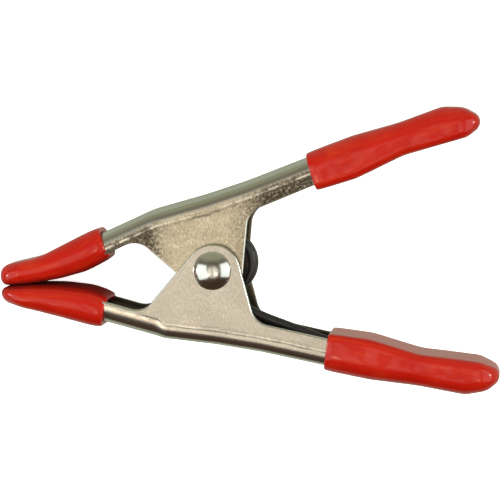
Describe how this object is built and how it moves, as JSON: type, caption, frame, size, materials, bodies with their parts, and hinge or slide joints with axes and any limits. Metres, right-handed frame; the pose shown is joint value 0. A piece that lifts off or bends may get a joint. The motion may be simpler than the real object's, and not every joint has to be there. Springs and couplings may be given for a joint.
{
  "type": "spring clamp",
  "caption": "Small steel spring clamp with red vinyl sleeves on its handles and jaws, held shut by a torsion spring round a domed rivet; squeezing the handles opens the jaws.",
  "frame": {"origin": "on the surface the clamp lies on, under the middle of its outline", "axes": "+Z along the rivet, dome upwards; +X along the line of symmetry from the jaws towards the handles; +Y towards the inner arm"},
  "size_m": [0.1032, 0.0596, 0.0156],
  "materials": {
    "nickel_steel": "satin nickel plating",
    "polished_steel": "polished nickel plating",
    "black_spring_steel": "satin black oxide",
    "red_vinyl": "soft glossy vinyl"
  },
  "bodies": {
    "outer_side": {"outer_arm": "nickel_steel", "pivot_rivet": "polished_steel", "torsion_spring": "black_spring_steel", "outer_grip": "red_vinyl", "outer_jaw_tip": "red_vinyl"},
    "inner_side": {"inner_arm": "nickel_steel", "inner_grip": "red_vinyl", "inner_jaw_tip": "red_vinyl"}
  },
  "joints": [
    {"name": "jaw_pivot", "type": "hinge", "parent": "outer_side", "child": "inner_side", "pos_m": [-0.006, 0, 0.0074], "axis": [0, 0, -1], "range_deg": [0, 42], "stiffness_Nm_per_rad": 0.5, "springref_deg": -68.75, "deforming": ["torsion_spring"]}
  ]
}
